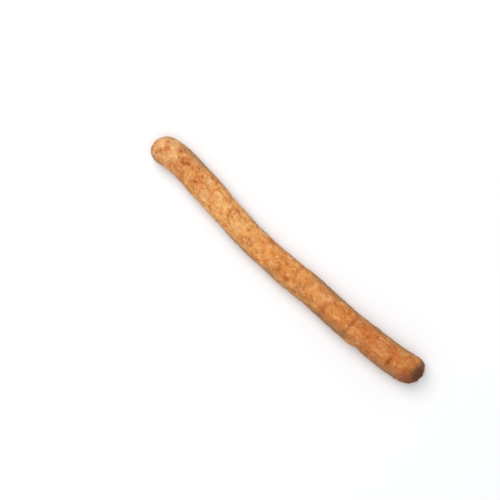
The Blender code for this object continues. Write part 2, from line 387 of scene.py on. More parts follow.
# stains in the bark: place along, angle, half length, half width, strength
rootStains = {
    "darkStain": [
        (-71.1, 124, 0.7, 0.6, 0.9), (-70.8, 149, 0.6, 0.6, 0.8), (-70.6, 54, 0.9, 0.8, 0.6),
        (-64.4, 115, 0.9, 0.7, 0.5), (-63.5, 54, 1.3, 1.1, 0.75), (-62.3, 34, 1.0, 1.0, 0.5),
        (-59.8, 88, 1.4, 0.65, 1.1), (-58.1, 75, 1.5, 0.65, 1.1), (-51.1, 105, 1.1, 0.9, 1.0),
        (-49.8, 71, 0.9, 0.9, 1.1), (-48.1, 142, 0.9, 0.9, 0.55), (-39.0, 130, 1.7, 1.1, 0.65),
        (-34.6, 46, 1.3, 1.1, 0.65), (-21.0, 149, 1.9, 1.2, 0.3), (-10.1, 146, 1.6, 1.0, 0.55),
        (4.4, 115, 1.2, 1.1, 1.1), (10.5, 138, 1.7, 1.0, 0.55), (25.1, 144, 1.5, 1.1, 0.8),
        (37.8, 84, 1.2, 6.0, 0.65), (37.2, 131, 1.3, 1.2, 0.55), (50.6, 132, 1.6, 0.8, 0.9),
        (49.6, 58, 0.8, 0.7, 0.8), (66.8, 44, 1.2, 0.9, 0.6), (60.0, 111, 1.1, 2.9, 1.2),
        (68.4, 136, 1.2, 1.2, 0.75), (-57, 205, 2.2, 1.4, 0.7), (-41, 305, 2.0, 1.5, 0.7),
        (-12, 235, 2.6, 1.4, 0.6), (15, 262, 2.2, 1.6, 0.7), (34, 200, 1.8, 1.3, 0.6),
        (54, 318, 2.4, 1.5, 0.7),
    ],
    "paleStain": [
        (-70.8, 82, 1.5, 1.2, 0.6), (-65.8, 98, 1.4, 1.1, 0.75), (-65.9, 72, 0.9, 0.9, 0.6),
        (-61.5, 57, 1.0, 0.8, 0.6), (-56.6, 53, 1.5, 1.0, 0.6), (-44.0, 117, 1.4, 1.3, 0.7),
        (-37.1, 95, 1.7, 1.1, 0.65), (-36.3, 139, 0.9, 0.9, 0.6), (-30.4, 76, 1.0, 1.9, 0.7),
        (-3.5, 74, 1.8, 1.3, 0.5), (-1.3, 128, 1.0, 0.8, 0.6), (-19.0, 112, 1.6, 1.4, 0.6),
        (4.3, 99, 1.2, 1.0, 0.65), (19.2, 106, 0.9, 0.8, 0.5), (26.8, 84, 1.8, 1.3, 0.45),
        (42.1, 92, 1.9, 1.8, 0.45), (54.7, 87, 1.7, 1.3, 0.5), (63.3, 104, 1.7, 1.4, 0.35),
        (68.4, 32, 1.2, 0.9, 0.5), (-20, 260, 2.4, 1.6, 0.6), (22, 225, 2.0, 1.6, 0.6),
        (48, 250, 2.6, 1.4, 0.6),
    ],
    "redStain": [
        (-61.2, 120, 1.5, 1.2, 0.8), (-59.1, 60, 1.8, 1.4, 0.65), (-52.2, 118, 1.6, 1.4, 0.6),
        (-51.5, 54, 1.3, 1.1, 0.5), (-43.3, 45, 1.3, 1.2, 0.65), (-33.9, 111, 1.3, 1.4, 0.9),
        (-21.2, 132, 1.6, 1.1, 0.65), (-7.2, 67, 1.8, 1.5, 0.55), (-6.0, 116, 1.6, 1.2, 0.55),
        (4.6, 115, 1.9, 1.5, 1.2), (14.4, 69, 2.4, 1.8, 0.55), (37.9, 65, 1.8, 1.6, 0.6),
        (46.6, 120, 2.4, 1.2, 0.65), (47.8, 77, 2.0, 2.0, 1.0), (51.0, 128, 1.5, 0.8, 1.2),
        (53.9, 62, 2.0, 1.5, 0.65), (59.3, 58, 1.6, 1.3, 0.55), (68.2, 122, 1.4, 2.4, 0.9),
        (-47, 230, 2.2, 1.6, 0.6), (6, 290, 2.6, 1.8, 0.7), (40, 240, 2.4, 1.6, 0.6),
    ],
}


def arcGroup():
    # distance round the root from a given angle, the short way
    tree, take, give = newGroup("arcFrom", floats("Angle", "Middle", "Radius"), floats("Arc"))
    turn = calc("FLOORED_MODULO", take["Angle"] - take["Middle"] + 180, 360)
    feed(give["Arc"], calc("RADIANS", turn - 180) * take["Radius"])
    return tree


def arcIn(tree, arcFrom, take):
    # that distance inside another group, from the group's own inputs
    return place(tree, arcFrom, {name: take[name] for name in ("Angle", "Middle", "Radius")})["Arc"]


def furrowGroup():
    # waves round the root that turn along it, and come and go
    tree, take, give = newGroup(
        "barkFurrow", floats("Along", "Angle", "Count", "Height", "Start", "Twist", "Fade distance", "Fade"),
        floats("Height"))
    along = take["Along"]
    turn = take["Count"] * (take["Angle"] - take["Start"]) + take["Twist"] * (along - rootLine["tipX"])
    beat = calc("SINE", along * math.tau / take["Fade distance"])
    strength = 1 - take["Fade"] + take["Fade"] * beat
    feed(give["Height"], take["Height"] * calc("COSINE", calc("RADIANS", turn)) * strength)
    return tree


def swellingGroup(arcFrom):
    # a smooth rise, also used for stains
    tree, take, give = newGroup(
        "barkSwelling",
        floats("Along", "Angle", "Radius", "Place", "Middle", "Half length", "Half width", "Rise"),
        floats("Height"))
    lengthwise = (take["Along"] - take["Place"]) / take["Half length"]
    across = arcIn(tree, arcFrom, take) / take["Half width"]
    feed(give["Height"], take["Rise"] * bell(lengthwise, across))
    return tree


def creaseGroup(arcFrom):
    # a fold across the bark, deepest in the middle of its arc
    tree, take, give = newGroup(
        "barkCrease", floats("Along", "Angle", "Place", "Begin", "End", "Width"), floats("Mask"))
    halfArc = calc("RADIANS", take["End"] - take["Begin"]) * 0.5
    middle = (take["Begin"] + take["End"]) * 0.5
    off = arcIn(tree, arcFrom, {**take, "Middle": middle, "Radius": 1.0}) / halfArc
    spread = calc("MAXIMUM", 1 - off * off, 0)
    feed(give["Mask"], spread * bell((take["Along"] - take["Place"]) / take["Width"]))
    return tree


def scarGroup(arcFrom):
    # a raised rim round a pit, both ragged
    tree, take, give = newGroup(
        "rootletScar",
        floats("Along", "Angle", "Radius", "Place", "Middle", "Size", "Widening", "Ragged", "Rim width",
               "Pit width"),
        floats("Rim", "Pit"))
    across = arcIn(tree, arcFrom, take) / take["Widening"]
    offset = xyz(tree, take["Along"] - take["Place"], across, 0.0)
    distance = calc("LENGTH", offset) / take["Size"] + take["Ragged"]
    feed(give["Rim"], bell((distance - 1) / take["Rim width"]))
    feed(give["Pit"], bell(distance / take["Pit width"]))
    return tree


def facetGroup():
    # brings a point back to one knife facet, with a worn edge
    vectors = [(name, "Vector") for name in ("Point", "Middle", "Facing")]
    tree, take, give = newGroup("knifeFacet", vectors + floats("Reach", "Softness"), [("Point", "Vector")])
    ahead = calc("DOT_PRODUCT", take["Point"] - take["Middle"], take["Facing"])
    beyond = calc("EXPONENT", (ahead - take["Reach"]) / take["Softness"])
    cutOff = calc("LOGARITHM", beyond + 1, math.e) * take["Softness"]
    feed(give["Point"], take["Point"] - take["Facing"] * cutOff)
    return tree


# The bark: a sheet with the root's forms on it, rolled up round the root's line

rootBark = {
    "Facets round": 196,
    "Cut lean": 22.0,
    "Wrinkle height": 0.22,
    "Fine wrinkle height": 0.06,
    "Grain height": 0.11,
    "Plate height": 0.11,
    "Pit depth": 0.18,
    "Lenticel height": 0.13,
    "Crack depth": 0.24,
    "Cut roughness": 0.24,
    "Check depth": 0.3,
    "seam": 0.0008,  # points as close as this are merged
    # noise on the bark: scale along and across the grain, detail, roughness; for masks, their edge too
    "wander": (0.12, 1.0, 0.5),
    "folds": ((0.11, 0.62, 0.62), 3.0, 0.5),
    "fineFolds": ((0.3, 2.2, 2.2), 2.0, 0.55),
    "lumps": ((0.9, 1.1, 1.1), 4.0, 0.65),
    "plates": (((0.19, 0.3, 0.3), 5.0, 0.62), (0.5, 0.535)),
    "cracked": (((0.09, 0.16, 0.16), 2.0, 0.55), (0.47, 0.6)),
    # how far the folds stray from the grain, and the cracks from the folds
    "foldStray": (0, 3.5, 3.5),
    "crackStray": (4, 2, 2),
    # folds are cut off at this height, then stretched
    "foldTop": 0.18,
    "foldStretch": 5.5,
    # cells that may hold a mark: their scale, and the share that does
    "pitCells": ((0.55, 0.62, 0.62), 0.36),
    "lipCells": ((0.95, 0.34, 0.34), 0.14),
    "crackCells": (0.13, 0.3, 0.3),
    # full and gone, by the distance in a cell
    "pit": (0.0, 0.28),
    "lip": (0.16, 0.42),
    "slit": (0.05, 0.2),
    "crack": (0.0, 0.05),
    # depths of the knife's cut over which the marks go from whole to what is left of them
    "shavedMarks": (0.2, 0.8, 1.0, 0.35),
    # shares of the cut's radius: where the bark's marks end, and where the cut wood begins
    "barkEnd": (0.86, 0.98),
    "cutWood": 0.93,
    # the cut inside its ragged edge: noise, and shares of the radius where things start and are full
    "edgePattern": (0.8, 3.0, 0.7),
    "edgeRagged": 0.3,
    "edgeStart": (0.0, 0.08),
    "cutEdge": (0.02, 0.12),
    "rayScale": (2.2, 5.5),
    "rays": (1, 4.0, 0.6),
    "sawn": ((0, 0.35, 2.4), 2.0, 0.55),
    "fibreEnds": ((0, 1.7, 1.7), 2.0, 0.7),
    "spokes": ((0.4, 0.42, 0.42), 2.0, 0.55, (7, 2, 5)),
    "checkWidth": (0.0, 0.022),
    "checkReach": (0.15, 0.45),
}


def layOutSheet(tree, take, rowCount):
    # one unit to a facet, x going round and y along; each point takes the facts of its row
    line, facets = take["Geometry"], take["Facets round"]
    sheet = outOf(add(tree, "GeometryNodeMeshGrid", {"Size X": facets, "Size Y": rowCount - 1.0,
                      "Vertices X": facets + 1, "Vertices Y": rowCount}))
    spot = given(tree, "Position")
    column = calc("ROUND", axis(spot, "X") + facets * 0.5)
    sheet = store(sheet, "angle", column / facets * 360 - 90)
    sheet = store(sheet, "row", calc("ROUND", axis(spot, "Y") + (rowCount - 1) / 2))
    for name in rowFacts:
        value = outOf(add(tree, "GeometryNodeSampleIndex", {"Geometry": line, "Value": attribute(tree, name),
                          "Index": attribute(tree, "row")}, data_type="FLOAT", domain="POINT"))
        sheet = store(sheet, name, value)
    turn = calc("RADIANS", attribute(tree, "angle"))
    sheet = store(sheet, "sideways", calc("COSINE", turn))
    return store(sheet, "upwards", calc("SINE", turn))


def addForms(sheet):
    # stores how far the forms raise the bark, the painted shade in their creases and pits, and where they
    # are pale
    tree = sheet.tree
    forms = rootForms
    radius = attribute(tree, "halfWidth")
    here = {"Along": attribute(tree, "along"), "Angle": attribute(tree, "angle")}
    arcFrom = arcGroup()
    furrow, swelling = furrowGroup(), swellingGroup(arcFrom)
    crease, scar = creaseGroup(arcFrom), scarGroup(arcFrom)
    heights, dark, pale = [], [], []
    for count, height, start, twist, distance in forms["furrows"]:
        made = place(tree, furrow, {**here, "Count": count, "Height": height, "Start": start, "Twist": twist,
                     "Fade distance": distance, "Fade": forms["furrowFade"]})
        heights.append(made["Height"])

    def swell(where, middle, halfLength, halfWidth, rise):
        return place(tree, swelling, {**here, "Radius": radius, "Place": where, "Middle": middle,
                     "Half length": halfLength, "Half width": halfWidth, "Rise": rise})["Height"]

    heights += [swell(*form) for form in forms["swellings"]]
    for where, begin, end, depth, shadeStrength in forms["creases"]:
        mask = place(tree, crease, {**here, "Place": where, "Begin": begin, "End": end,
                     "Width": forms["creaseWidth"]})["Mask"]
        heights.append(mask * -depth)
        dark.append(mask * shadeStrength)
    y, z = (attribute(tree, name) * radius for name in ("sideways", "upwards"))
    scarShape = {"Radius": radius, "Widening": forms["scarWidening"], "Rim width": forms["scarRimWidth"],
                 "Pit width": forms["scarPitWidth"],
                 "Ragged": swing(xyz(tree, here["Along"], y, z), forms["scarPattern"]) * forms["scarRagged"]}
    for where, middle, size, rise, depth, paleness, shadeStrength in forms["scars"]:
        made = place(tree, scar, {**here, **scarShape, "Place": where, "Middle": middle, "Size": size})
        heights.append(made["Rim"] * rise - made["Pit"] * depth)
        pale.append(made["Rim"] * paleness)
        dark.append(made["Pit"] * shadeStrength)
    # the dark parts are painted shade in the creases and the scars' pits
    for name, parts in (("raised", heights), ("hollowShade", dark), ("rim", pale)):
        sheet = store(sheet, name, sum(parts))
    for name, stains in rootStains.items():
        sheet = store(sheet, name, sum(swell(*stain) for stain in stains))
    return sheet


def rollUp(sheet, take):
    # the sheet goes round the root's line, and leans back with the cut
    tree = sheet.tree
    fact = {name: attribute(tree, name) for name in rowFacts + ("raised", "sideways", "upwards")}
    y = (fact["halfWidth"] + fact["raised"]) * fact["sideways"] * fact["sideShrink"]
    z = (fact["halfHeight"] + fact["raised"]) * fact["upwards"] * fact["topShrink"]
    x = fact["along"] - fact["lean"] * z * calc("TANGENT", calc("RADIANS", take["Cut lean"]))
    sheet = store(sheet, "grain", xyz(tree, x, y, z), "FLOAT_VECTOR")
    rolled = xyz(tree, x, fact["bend"] + y, fact["underside"] + fact["halfHeight"] + z)
    return step(sheet, "SetPosition", Position=rolled)


def trimTip(sheet):
    # stores how much of the bark the knife took off
    tree = sheet.tree
    facet = facetGroup()
    tipX = rootForms["facetMiddleX"]
    tipMiddle = (tipX, station(tipX, 0), station(tipX, 1) + station(tipX, 3))
    position = given(tree, "Position")
    trimmed = position
    for bearing, slope, reach in rootForms["facets"]:
        slope = math.radians(slope)
        facing = Vector((math.cos(slope), 0, math.sin(slope)))
        facing.rotate(Matrix.Rotation(math.radians(bearing), 3, "Z"))
        trimmed = place(tree, facet, {"Point": trimmed, "Middle": tipMiddle, "Facing": facing,
                        "Reach": reach, "Softness": rootForms["facetSoftness"]})["Point"]
    atTip = calc("LESS_THAN", attribute(tree, "along"), tipX)
    sheet = store(sheet, "shaved", calc("LENGTH", trimmed - position) * atTip)
    return step(sheet, "SetPosition", Selection=atTip, Position=trimmed)


def roughenBark(root, take):
    # stores the bark's own small marks, and gives their height
    tree = root.tree
    look = rootBark
    grain = grainOf(tree)
    wander = noise(grain, look["wander"], "Color")
    warped = grain + (wander - 0.5) * look["foldStray"]
    folds = calc("MINIMUM", calc("ABSOLUTE", swing(warped, look["folds"])), look["foldTop"])
    pitAway, pitHere = someCells(grain, look["pitCells"], "X")
    # lenticels are raised lips that lie across the root, with a slit between them
    lipAway, lipHere = someCells(grain, look["lipCells"], "Y")
    # fine cracks, mostly lengthwise, in patches
    crackAway = edges((warped + wander * look["crackStray"]) * look["crackCells"])
    marks = {
        "wrinkle": folds * look["foldStretch"] - 0.5,
        "fineWrinkle": swing(warped, look["fineFolds"]) * 2,
        "lump": swing(grain, look["lumps"]) * 2,
        "plate": patches(warped, look["plates"]),
        "pit": fade(pitAway, *look["pit"]) * pitHere,
        "lip": fade(lipAway, *look["lip"]) * lipHere,
        "slit": fade(lipAway, *look["slit"]) * lipHere,
        "crack": fade(crackAway, *look["crack"]) * patches(grain, look["cracked"]),
    }
    for name, value in marks.items():
        root = store(root, name, value)
    mark = {name: attribute(tree, name) for name in marks}
    onBark = ease(attribute(tree, "cutPart"), *look["barkEnd"])
    whole = ease(attribute(tree, "shaved"), *look["shavedMarks"])
    lenticel = mark["lip"] - mark["slit"] * 2
    height = (mark["wrinkle"] * take["Wrinkle height"] + mark["fineWrinkle"] * take["Fine wrinkle height"]
              + mark["plate"] * take["Plate height"] - mark["pit"] * take["Pit depth"]
              + lenticel * take["Lenticel height"] - mark["crack"] * take["Crack depth"])
    return root, height * onBark * whole + mark["lump"] * take["Grain height"]


def roundCut(tree, outward, turning):
    # a pattern's place on the cut, with its scale outward from the middle and its scale round it
    return xyz(tree, attribute(tree, "cutPart") * outward, attribute(tree, "sideways") * turning,
               attribute(tree, "upwards") * turning)


def roughenCut(root, take):
    # rays from the middle of the cut, tears of the saw, and checks where it dried; stores the checks
    tree = root.tree
    look = rootBark
    grain = grainOf(tree)
    part = attribute(tree, "cutPart")
    inward = 1 - part
    ragged = swing(grain, look["edgePattern"]) * look["edgeRagged"]
    onCut = ease(inward + ragged * ease(inward, *look["edgeStart"]), *look["cutEdge"])
    around = roundCut(tree, *look["rayScale"])
    rough = swing(around, look["rays"]) + swing(grain, look["sawn"]) + swing(grain, look["fibreEnds"])
    spokes = calc("ABSOLUTE", swing(around, look["spokes"]))
    checks = fade(spokes, *look["checkWidth"]) * ease(part, *look["checkReach"])
    root = store(root, "check", checks * onCut)
    return root, rough * onCut * take["Cut roughness"] - attribute(tree, "check") * take["Check depth"]


def footOf(low, high):
    # the middle of a box's underside
    return (low + high) * (0.5, 0.5, 0) + low * (0, 0, 1)


def setDown(root, bound, take):
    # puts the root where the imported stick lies, in metres, and flattens it a little where it touches
    foot = footOf(outOf(bound, "Min"), outOf(bound, "Max"))
    cadFoot = footOf(take["Lowest corner"], take["Highest corner"])
    settled = (given(root.tree, "Position") - foot) * mm + cadFoot
    return step(root, "SetPosition", Position=calc("MAXIMUM", settled, (-1, -1, 0)))


def growRootTree(rowCount):
    corners = (("Lowest corner", "Vector"), ("Highest corner", "Vector"))
    tree, take, give = newTree("growRoot", rootBark, ("Bark", "Cut wood"), *corners)
    sheet = trimTip(rollUp(addForms(layOutSheet(tree, take, rowCount)), take))
    root = step(sheet, "MergeByDistance", Distance=rootBark["seam"])
    bound = add(tree, "GeometryNodeBoundBox", {"Geometry": root})
    root, barkHeight = roughenBark(root, take)
    root, cutHeight = roughenCut(root, take)
    root = step(root, "SetPosition", Offset=given(tree, "Normal") * (barkHeight + cutHeight))
    root = step(step(setDown(root, bound, take), "SetShadeSmooth"), "RealizeInstances")
    root = step(root, "SetMaterial", Material=take["Bark"])
    cutFaces = calc("LESS_THAN", attribute(tree, "cutPart"), rootBark["cutWood"])
    feed(give["Geometry"], step(root, "SetMaterial", Selection=cutFaces, Material=take["Cut wood"]))
    return tree


# Shader groups that the root's materials share

grainLook = {
    # noise: scale, detail, roughness and, for some, a shift; for masks, their edge too
    "tone": (0.24, 5.0, 0.8),
    "darkEdge": (0.49, 0.35),
    "lightEdge": (0.51, 0.65),
    "red": ((0.24, 4.0, 0.72, (5, 19, 11)), (0.5, 0.61)),
    "speckle": ((1.7, 3.0, 0.7, (31, 7, 3)), (0.52, 0.7)),
    "rough": (1.2, 4.0, 0.8),
    "fibres": (1, 3.0, 0.6),
    "pores": (5, 4.0, 0.65),
    "crackled": ((0.35, 2.0, 0.55), (0.4, 0.6)),
    "dusty": ((0.9, 5.0, 0.7), (0.5, 0.75)),
    # the crackled skin: its scale, how far fibres and pores bend its cracks, and their width
    "skin": (0.9, 1.9, 1.9),
    "skinBend": (0.9, 0.6, 0.6),
    "poreBend": 1.5,
    "gap": (0.0, 0.07),
    # shares of fibres, pores and cracks in the height
    "heights": (0.35, 0.65, 0.5),
    # dust in hollows, and elsewhere
    "dustShares": (0.6, 0.4),
}


def mottleGroup():
    # blotches from a few millimetres down to half of one, on the root's own grain
    look = grainLook
    tree, take, give = newGroup(
        "rootMottle", [("Vector", "Vector"), *floats("Scale", "Streak")],
        floats("Light", "Dark", "Red", "Speckle", "Rough"), "ShaderNodeTree")
    scaled = take["Vector"] * take["Scale"]
    grain = scaled * xyz(tree, take["Streak"], 1.0, 1.0)
    tone = noise(grain, look["tone"])
    feed(give["Dark"], ease(tone, *look["darkEdge"]))
    feed(give["Light"], ease(tone, *look["lightEdge"]))
    feed(give["Red"], patches(grain, look["red"]))
    feed(give["Speckle"], patches(scaled, look["speckle"]))
    feed(give["Rough"], swing(scaled, look["rough"]))
    return tree


def fibreGroup():
    # fine lengthwise fibres and the crackled skin over them, as a mask of the cracks and a height
    look = grainLook
    tree, take, give = newGroup(
        "fibreGrain", [("Vector", "Vector"), *floats("Fineness", "Length")], floats("Crackle", "Height"),
        "ShaderNodeTree")
    grain, fine = take["Vector"], take["Fineness"]
    fibres = noise(grain * xyz(tree, fine / take["Length"], fine, fine), look["fibres"])
    pores = noise(grain, look["pores"])
    bent = grain * look["skin"] + (fibres + pores * look["poreBend"]) * look["skinBend"]
    gap = fade(edges(bent), *look["gap"])
    crackle = gap * patches(grain, look["crackled"])
    feed(give["Crackle"], crackle)
    fibreShare, poreShare, crackShare = look["heights"]
    feed(give["Height"], fibres * fibreShare + pores * poreShare - crackle * crackShare)
    return tree


def dustGroup():
    # pale dry dust that stays in hollows and on rough spots
    tree, take, give = newGroup(
        "rootDust", [("Vector", "Vector"), *floats("Hollow", "Amount")], floats("Dust"), "ShaderNodeTree")
    inHollow, elsewhere = grainLook["dustShares"]
    dusty = patches(take["Vector"], grainLook["dusty"])
    feed(give["Dust"], (take["Hollow"] * inHollow + elsewhere) * dusty * take["Amount"])
    return tree


def shade(base, tint, factor):
    # base and tint are wires or colours of three numbers, and at least the factor is a wire
    base, tint = ((*colour, 1) if isinstance(colour, tuple) else colour for colour in (base, tint))
    mixed = add(factor.tree, "ShaderNodeMix", {"Factor": factor, "A": base, "B": tint}, data_type="RGBA")
    return outOf(mixed)


def paint(colour, finish, masks):
    # lays a finish's coats over a colour in turn, each in its own tint and strength, where its mask is
    for name, mask in masks.items():
        tint, strength = finish["coats"][name]
        colour = shade(colour, finish[tint], mask * strength)
    return colour


def ramp(value, stops):
    node = add(value.tree, "ShaderNodeValToRGB", {"Fac": value})
    band = node.color_ramp
    while len(band.elements) < len(stops):
        band.elements.new(0.5)
    for element, (where, colour) in zip(band.elements, stops):
        element.position = where
        element.color = (*colour, 1)
    return outOf(node)


def newMaterial(name, settings):
    material = bpy.data.materials.new(name)
    material.use_nodes = True
    skin = material.node_tree.nodes["Principled BSDF"]
    for label, value in settings.items():
        skin.inputs[label].default_value = value
    return material, material.node_tree, skin.inputs


def cover(skin, finish, colour, spots, height):
    # the colour, the roughness with what the spots add to it, and the bump
    feed(skin["Base Color"], colour)
    feed(skin["Roughness"], spots * finish["spotRoughness"] + finish["roughness"])
    strength, depth = finish["bump"]
    feed(skin["Normal"], outOf(add(height.tree, "ShaderNodeBump", {
        "Height": height, "Strength": strength, "Distance": depth * mm})))


barkFinish = {
    # ground colour along the root: share of the way from tip to cut, and the colour
    "lengthColours": [
        (0.00, (0.65, 0.355, 0.145)), (0.09, (0.69, 0.295, 0.093)), (0.16, (0.67, 0.280, 0.077)),
        (0.26, (0.72, 0.350, 0.098)), (0.36, (0.75, 0.345, 0.100)), (0.44, (0.68, 0.262, 0.058)),
        (0.55, (0.71, 0.295, 0.074)), (0.66, (0.61, 0.230, 0.057)), (0.74, (0.60, 0.192, 0.034)),
        (0.84, (0.51, 0.148, 0.025)), (0.90, (0.53, 0.175, 0.038)), (1.00, (0.53, 0.175, 0.038)),
    ],
    "dark": (0.34, 0.082, 0.010),
    "pale": (0.88, 0.53, 0.235),
    "red": (0.57, 0.140, 0.020),
    # the colour of the painted shade in hollows
    "hollowShade": (0.19, 0.055, 0.012),
    "cork": (0.74, 0.41, 0.150),
    "peeled": (0.72, 0.41, 0.19),
    "dust": (0.76, 0.56, 0.34),
    # the colour of the painted shade on the flanks
    "flankShade": (0.235, 0.148, 0.070),
    # tint and strength of each coat
    "coats": {
        "plate": ("cork", 0.15), "redSpots": ("red", 0.68), "darkSpots": ("dark", 0.72),
        "paleSpots": ("pale", 1), "speckle": ("dark", 0.38), "crackle": ("dark", 0.2),
        # the fold coats are painted shade in the wrinkles' bottoms and a painted highlight on their crests
        "foldShade": ("dark", 0.14), "foldHighlight": ("pale", 0.10), "redStain": ("red", 0.7),
        "paleStain": ("pale", 0.55), "darkStain": ("dark", 0.86), "rim": ("pale", 0.55),
        "hollowShade": ("hollowShade", 0.62), "peeled": ("peeled", 0.6), "fibreEnds": ("dark", 0.85),
        "dust": ("dust", 1),
    },
    "mottle": {"Scale": 1.0, "Streak": 0.9},
    "fibres": {"Fineness": 5.0, "Length": 7.0},
    # the pale spots are fainter past the middle
    "paleAlong": (2, 20, 0.74, 0.46),
    # the knife's depths over which the bark is peeled, how ragged that is, and the cracks left there
    "peeledEdge": (0.3, 0.75),
    "peeledRagged": 0.5,
    "crackleOnPeeled": 0.25,
    # where the painted shade and highlight of folds, and the colour of stains, start and are full
    "foldShade": (-0.2, -0.5),
    "foldHighlight": (0.05, 0.45),
    "stainEdge": (0.15, 0.85),
    "stainRagged": 1.6,
    # how much painted shade each mark takes, as a hollow
    "deepness": {"pit": 0.5, "slit": 0.7, "crack": 0.55, "hollowShade": 1},
    "fibreEnds": (((1.0, 1.7, 1.7), 2.0, 0.7), (0.54, 0.61)),
    "dustAmount": 0.16,
    # painted shade on the flanks, with a ragged edge, and patches in which it comes and goes
    "flankPattern": ((0.11, 0.22, 0.22), 4.0, 0.65),
    "flankRagged": 1.2,
    "flankPatches": (((0.08, 0.12, 0.12), 3.0, 0.55, (3, 8, 1)), (0.40, 0.58, 0.45, 1.0)),
    # how strong the painted shade is above and below, by the sine of the angle, and at the tip
    "flankTop": (0.82, 0.3),
    "flankFoot": (-0.5, 0.25, 0.2, 0.7),
    "flankTip": (-74.5, -66, 0.35, 1.0),
    # where the painted shade is weaker: a stretch's middle, half length, effect, and how much less on the -Y
    # side;
    # then what the -Y side adds along the root, and what comes off towards the cut
    "lowSide": (2.0, -4.5),
    "weakShadeStretch": (-31, 21, 0.5, 0.35),
    "weakShadeLowSide": (-60, 0, 0.3, -0.1),
    "strongerShadeToCut": (5, 40, 0.0, 0.04),
    "shader": {"Specular IOR Level": 0.2, "Sheen Weight": 0.05, "Sheen Roughness": 0.5},
    "roughness": 0.72,
    "spotRoughness": 0.14,
    "bump": (0.65, 0.24),  # strength and depth
}

cutFinish = {
    "wood": (0.155, 0.052, 0.017),
    "rays": (0.23, 0.085, 0.030),
    "upper": (0.39, 0.145, 0.045),
    "rim": (0.065, 0.029, 0.015),
    "stain": (0.188, 0.064, 0.021),
    "redStain": (0.24, 0.045, 0.016),
    "coats": {
        "rays": ("rays", 0.55), "lightSpots": ("rays", 0.5), "pores": ("rim", 0.6), "upper": ("upper", 0.7),
        "redSide": ("redStain", 0.6), "darkSpots": ("rim", 0.7), "ring": ("rim", 0.7),
        "checks": ("rim", 0.8), "burntDark": ("rim", 0.8), "burntLight": ("upper", 0.6),
    },
    # the bark's end reddens and darkens along these stretches, its -Y side redder, and dark later
    "redReach": (67.9, 70.7),
    "stainReach": (70.4, 73.0),
    "endRagged": 5.0,
    "lowSide": (2.0, -5.5),
    "redShares": (0.78, 0.03),
    "lowSideDelay": 1.1,
    "stainStrength": 0.96,
    # the cut wood
    "mottle": {"Scale": 1.6, "Streak": 1.0},
    "fibres": {"Fineness": 4.0, "Length": 1.0},
    "rayScale": (3.5, 11),
    "rayPattern": ((1, 4.0, 0.7), (0.45, 0.68)),
    "rayReach": (0.12, 0.45),
    "vesselScale": (0, 2.6, 2.6),
    "vesselShift": (3, 0, 0),
    "pore": (0.12, 0.3),
    "upperEdge": (1.0, 6.0),
    "upperRagged": 6,
    "redSide": (1.0, -4.5),
    "redTop": (-2.0, 4.0),
    # the dark ring between wood and bark, by the share of the radius, and the bark outside it
    "ring": (0.74, 0.05),
    "ringRagged": 0.2,
    "barkFrom": (0.74, 0.9),
    "shader": {"Specular IOR Level": 0.12},
    "roughness": 0.8,
    "spotRoughness": 0.1,
    "bump": (0.5, 0.15),
}


def groundColour(along):
    # the bark's own colour, which changes from tip to cut
    share = (along - rootLine["tipX"]) / (rootLine["cutX"] - rootLine["tipX"])
    return ramp(share, barkFinish["lengthColours"])


def shadeFlanks(colour, tree):
    # painted shade on the flanks, in patches; the underside and the peeled tip less so
    look = barkFinish
    grain = grainOf(tree)
    along = attribute(tree, "along")
    lowSide = ease(axis(grain, "Y"), *look["lowSide"])
    middle, halfLength, effect, less = look["weakShadeStretch"]
    weakerShade = bell((along - middle) / halfLength) * (effect - lowSide * less)
    weakerShade = weakerShade + lowSide * ease(along, *look["weakShadeLowSide"]) - ease(along, *look["strongerShadeToCut"])
    ragged = swing(grain, look["flankPattern"]) * look["flankRagged"]
    height = attribute(tree, "upwards") + ragged + weakerShade
    shadeAmount = ease(height, *look["flankTop"]) * ease(height, *look["flankFoot"])
    shadeAmount = shadeAmount * ease(along, *look["flankTip"])
    return shade(colour, look["flankShade"], shadeAmount * patches(grain, look["flankPatches"]))


def blackenEnd(colour, tree, spots):
    # near the cut the bark goes red on its -Y side, and then dark all round
    look = cutFinish
    lowSide = ease(axis(grainOf(tree), "Y"), *look["lowSide"])
    reach = attribute(tree, "along") + spots["Rough"] * look["endRagged"]
    there, elsewhere = look["redShares"]
    reddened = ease(reach, *look["redReach"]) * (lowSide * there + elsewhere)
    colour = shade(colour, look["redStain"], reddened)
    burnt = paint(look["stain"], look, {"burntDark": spots["Dark"], "burntLight": spots["Light"]})
    reach = reach - lowSide * look["lowSideDelay"]
    return shade(colour, burnt, ease(reach, *look["stainReach"]) * look["stainStrength"])


